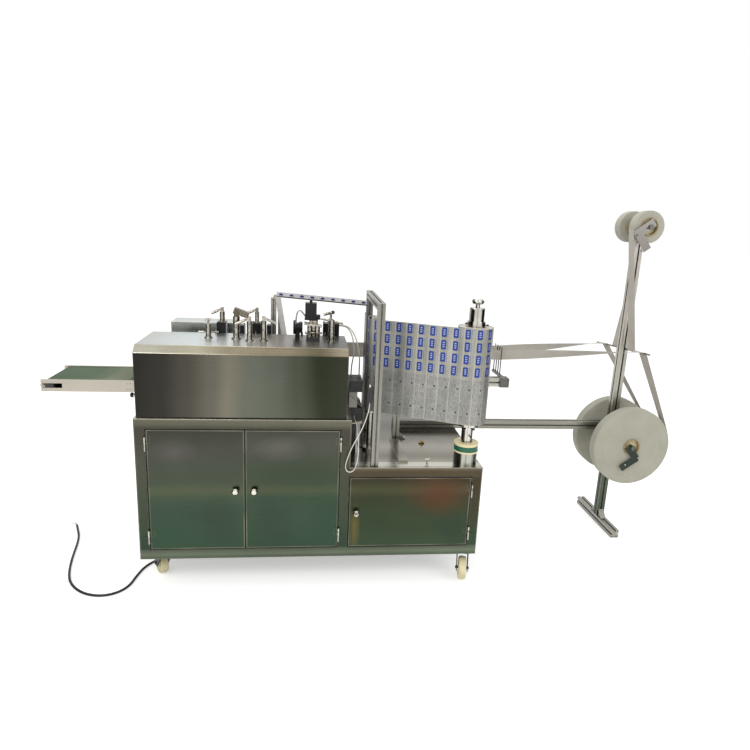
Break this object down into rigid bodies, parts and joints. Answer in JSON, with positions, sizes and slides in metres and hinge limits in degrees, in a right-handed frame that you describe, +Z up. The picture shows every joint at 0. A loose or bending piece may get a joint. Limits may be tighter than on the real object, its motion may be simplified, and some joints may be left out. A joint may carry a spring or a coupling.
{
  "type": "alcohol pad packing machine",
  "caption": "Pad packing machine: stainless cabinet on casters with heads, outfeed belt, vertical foil reel and a profile reel stand with rolls of white web.",
  "frame": {"origin": "middle of the base of the whole machine with its reel stand, on the floor, cords left out", "axes": "+X along the machine from the outfeed belt to the reel stand, +Y from the operator's side to the back, +Z up"},
  "size_m": [2.9355, 0.8786, 1.6205],
  "materials": {
    "stainless_sheet": "brushed stainless sheet, satin with soft reflections",
    "polished_steel": "turned and polished steel",
    "aluminium_profile": "anodised extruded profile, satin",
    "black_steel": "black oxide or paint, semi-matte",
    "cream_wheel": "cream nylon, slightly worn",
    "green_belt": "smooth green belt, semi-matte",
    "printed_foil": "thin laminated foil with rows of blue blocks",
    "white_nonwoven": "soft white nonwoven",
    "brake_cream": "cream plastic disc with a green band",
    "black_rubber": "smooth black cable sheath",
    "white_tube": "pale flexible tube and sheath",
    "sensor_black": "black moulded plastic"
  },
  "bodies": {
    "machine": {"back_frame": "stainless_sheet", "bearing_blocks": "black_steel", "cabinet_back": "stainless_sheet", "cabinet_floor": "stainless_sheet", "cabinet_sides": "stainless_sheet", "caster_plates": "black_steel", "clamp_posts": "polished_steel", "comb_stand": "aluminium_profile", "conveyor_belt": "green_belt", "conveyor_frame": "aluminium_profile", "door_hinges": "polished_steel", "drive_motor": "black_steel", "foil_brake": "brake_cream", "foil_guides": "polished_steel", "foil_strip": "printed_foil", "foil_web": "printed_foil", "front_frame": "stainless_sheet", "guide_frame": "aluminium_profile", "guide_rod": "polished_steel", "hand_screws": "polished_steel", "infeed_box": "black_steel", "left_hose": "white_tube", "link_beam": "aluminium_profile", "nonwoven_webs": "white_nonwoven", "power_cord": "black_rubber", "rear_bed": "stainless_sheet", "reel_axles": "polished_steel", "reel_foot": "aluminium_profile", "reel_post": "aluminium_profile", "right_hose": "white_tube", "sealing_head": "polished_steel", "sensor_cord": "white_tube", "sensor_head": "sensor_black", "side_rails": "stainless_sheet", "strip_bridge": "aluminium_profile", "table_rail": "aluminium_profile", "table_tops": "stainless_sheet", "upper_housing": "stainless_sheet"},
    "left_door": {"left_door": "stainless_sheet"},
    "middle_door": {"middle_door": "stainless_sheet"},
    "right_door": {"right_door": "stainless_sheet"},
    "foil_reel": {"foil_roll": "printed_foil", "foil_spindle": "polished_steel"},
    "front_left_swivel": {"front_left_fork": "black_steel"},
    "front_left_roller": {"front_left_wheel": "cream_wheel"},
    "front_right_swivel": {"front_right_fork": "black_steel"},
    "front_right_roller": {"front_right_wheel": "cream_wheel"},
    "rear_left_swivel": {"rear_left_fork": "black_steel"},
    "rear_left_roller": {"rear_left_wheel": "cream_wheel"},
    "rear_right_swivel": {"rear_right_fork": "black_steel"},
    "rear_right_roller": {"rear_right_wheel": "cream_wheel"},
    "big_roll_front": {"big_roll_front": "white_nonwoven"},
    "big_roll_back": {"big_roll_back": "white_nonwoven"},
    "small_roll_front": {"small_roll_front": "white_nonwoven"},
    "small_roll_back": {"small_roll_back": "white_nonwoven"},
    "lever_rear_left": {"lever_rear_left": "polished_steel"},
    "lever_front_left": {"lever_front_left": "polished_steel"},
    "lever_rear_right": {"lever_rear_right": "polished_steel"},
    "lever_front_right": {"lever_front_right": "polished_steel"},
    "lever_long": {"lever_long": "polished_steel"}
  },
  "joints": [
    {"name": "left_door_hinge", "type": "hinge", "parent": "machine", "child": "left_door", "pos_m": [-1.0325, -0.40376, 0.1745], "axis": [0, 0, -1], "range_deg": [0, 110]},
    {"name": "middle_door_hinge", "type": "hinge", "parent": "machine", "child": "middle_door", "pos_m": [-0.27, -0.40376, 0.1745], "axis": [0, 0, 1], "range_deg": [0, 110]},
    {"name": "right_door_hinge", "type": "hinge", "parent": "machine", "child": "right_door", "pos_m": [0.2865, -0.40376, 0.1745], "axis": [0, 0, 1], "range_deg": [0, 110]},
    {"name": "front_left_swivel_turn", "type": "hinge", "parent": "machine", "child": "front_left_swivel", "pos_m": [-1.005, -0.30176, 0.05], "axis": [0, 0, 1], "continuous": true},
    {"name": "front_left_wheel_roll", "type": "hinge", "parent": "front_left_swivel", "child": "front_left_roller", "pos_m": [-1.021, -0.27405, 0.05], "axis": [-0.866, -0.5, 0], "continuous": true},
    {"name": "front_right_swivel_turn", "type": "hinge", "parent": "machine", "child": "front_right_swivel", "pos_m": [0.289, -0.33876, 0.05], "axis": [0, 0, 1], "continuous": true},
    {"name": "front_right_wheel_roll", "type": "hinge", "parent": "front_right_swivel", "child": "front_right_roller", "pos_m": [0.28235, -0.37006, 0.05], "axis": [0.9781, -0.2079, 0], "continuous": true},
    {"name": "rear_left_swivel_turn", "type": "hinge", "parent": "machine", "child": "rear_left_swivel", "pos_m": [-1.005, 0.34124, 0.05], "axis": [0, 0, 1], "continuous": true},
    {"name": "rear_left_wheel_roll", "type": "hinge", "parent": "rear_left_swivel", "child": "rear_left_roller", "pos_m": [-1.021, 0.36895, 0.05], "axis": [-0.866, -0.5, 0], "continuous": true},
    {"name": "rear_right_swivel_turn", "type": "hinge", "parent": "machine", "child": "rear_right_swivel", "pos_m": [0.289, 0.34124, 0.05], "axis": [0, 0, 1], "continuous": true},
    {"name": "rear_right_wheel_roll", "type": "hinge", "parent": "rear_right_swivel", "child": "rear_right_roller", "pos_m": [0.28235, 0.37254, 0.05], "axis": [-0.9781, -0.2079, 0], "continuous": true},
    {"name": "foil_reel_spin", "type": "hinge", "parent": "machine", "child": "foil_reel", "pos_m": [0.266, -0.32876, 0.717], "axis": [0, 0, 1], "continuous": true},
    {"name": "big_roll_front_spin", "type": "hinge", "parent": "machine", "child": "big_roll_front", "pos_m": [1.213, 0.00124, 0.475], "axis": [0, 1, 0], "continuous": true},
    {"name": "big_roll_back_spin", "type": "hinge", "parent": "machine", "child": "big_roll_back", "pos_m": [1.213, 0.20124, 0.475], "axis": [0, 1, 0], "continuous": true},
    {"name": "small_roll_front_spin", "type": "hinge", "parent": "machine", "child": "small_roll_front", "pos_m": [1.167, 0.05624, 1.546], "axis": [0, 1, 0], "continuous": true},
    {"name": "small_roll_back_spin", "type": "hinge", "parent": "machine", "child": "small_roll_back", "pos_m": [1.167, 0.19524, 1.546], "axis": [0, 1, 0], "continuous": true},
    {"name": "lever_rear_left_lift", "type": "hinge", "parent": "machine", "child": "lever_rear_left", "pos_m": [-0.777, -0.05376, 1.121], "axis": [0, 1, 0], "range_deg": [0, 115]},
    {"name": "lever_front_left_lift", "type": "hinge", "parent": "machine", "child": "lever_front_left", "pos_m": [-0.645, -0.23676, 1.111], "axis": [0, 1, 0], "range_deg": [0, 115]},
    {"name": "lever_rear_right_lift", "type": "hinge", "parent": "machine", "child": "lever_rear_right", "pos_m": [-0.63, -0.05376, 1.123], "axis": [0, 1, 0], "range_deg": [0, 115]},
    {"name": "lever_front_right_lift", "type": "hinge", "parent": "machine", "child": "lever_front_right", "pos_m": [-0.589, -0.22876, 1.113], "axis": [0, -1, 0], "range_deg": [0, 115]},
    {"name": "lever_long_turn", "type": "hinge", "parent": "machine", "child": "lever_long", "pos_m": [-0.313, -0.23976, 1.093], "axis": [0, 0, 1], "continuous": true}
  ]
}
